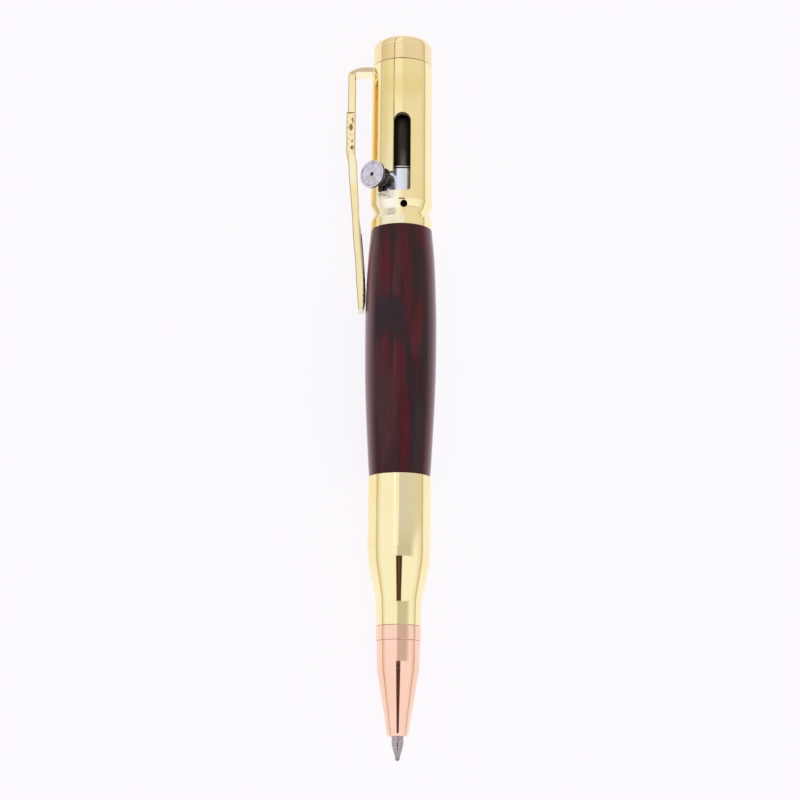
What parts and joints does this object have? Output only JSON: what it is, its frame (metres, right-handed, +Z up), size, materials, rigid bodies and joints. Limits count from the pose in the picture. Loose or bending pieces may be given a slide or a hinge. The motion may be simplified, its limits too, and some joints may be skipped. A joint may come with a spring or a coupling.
{
  "type": "bolt-action ballpoint pen",
  "caption": "Metal and wood ballpoint pen with a hooked bolt slot, side knob, spring clip, gold-plated case and copper-plated nose.",
  "frame": {"origin": "middle of the pen's footprint, on the surface that it lies on", "axes": "+Y along the pen's axis towards the cap, -Y towards the writing tip, +Z up; the clip lies at -X and the bolt slot faces up and to -X"},
  "size_m": [0.0184, 0.1494, 0.0146],
  "materials": {
    "gold_plate": "polished gold plating",
    "copper_plate": "polished copper plating",
    "bright_steel": "turned and polished",
    "dark_steel": "turned, left dull",
    "raw_brass": "turned, unplated",
    "red_wood": "dark red streaked wood under gloss lacquer",
    "black_plastic": "semi-gloss",
    "pale_plastic": "moulded"
  },
  "bodies": {
    "pen_body": {"wood_barrel": "red_wood", "barrel_tube": "raw_brass", "lower_case": "gold_plate", "lower_bush": "raw_brass", "nose_thread_bush": "raw_brass", "receiver": "gold_plate", "upper_bush": "raw_brass", "tail_bush": "raw_brass", "tail_cap": "gold_plate"},
    "carriage": {"push_rod": "black_plastic", "refill_end_plug": "pale_plastic", "refill_tube": "bright_steel", "refill_tip_holder": "pale_plastic", "refill_tip": "bright_steel", "return_spring": "bright_steel"},
    "ball": {"writing_ball": "bright_steel"},
    "bolt": {"bolt_body": "bright_steel", "bolt_rod": "black_plastic", "handle_stem": "dark_steel", "handle_knob": "bright_steel"},
    "collar": {"nose_collar": "copper_plate"},
    "nose": {"nose_cone": "copper_plate"},
    "clip": {"clip": "gold_plate"}
  },
  "joints": [
    {"name": "bolt_slide", "type": "slide", "parent": "pen_body", "child": "carriage", "axis": [0, -1, 0], "range_m": [0, 0.00105], "stiffness_N_per_m": 200, "springref_m": -0.002, "deforming": ["return_spring"]},
    {"name": "bolt_turn", "type": "hinge", "parent": "carriage", "child": "bolt", "pos_m": [0.00189, 0.04275, 0.00732], "axis": [0, 1, 0], "range_deg": [0, 36]},
    {"name": "ball_roll", "type": "hinge", "parent": "carriage", "child": "ball", "pos_m": [0.00189, -0.0743, 0.00732], "axis": [0.8766, 0, 0.4812], "continuous": true},
    {"name": "nose_advance", "type": "slide", "parent": "pen_body", "child": "collar", "axis": [0, -1, 0], "range_m": [0, 0.003]},
    {"name": "nose_unscrew", "type": "hinge", "parent": "collar", "child": "nose", "pos_m": [0.00189, -0.0607, 0.00732], "axis": [0, -1, 0], "range_deg": [0, 1440]},
    {"name": "clip_flex", "type": "hinge", "parent": "pen_body", "child": "clip", "pos_m": [-0.00285, 0.068, 0.00472], "axis": [0.4812, 0, -0.8766], "range_deg": [0, 3.5], "stiffness_Nm_per_rad": 0.08}
  ],
  "couplings": [
    {"joint": "nose_unscrew", "follows": "nose_advance", "rad_per_m": 8377.6}
  ]
}
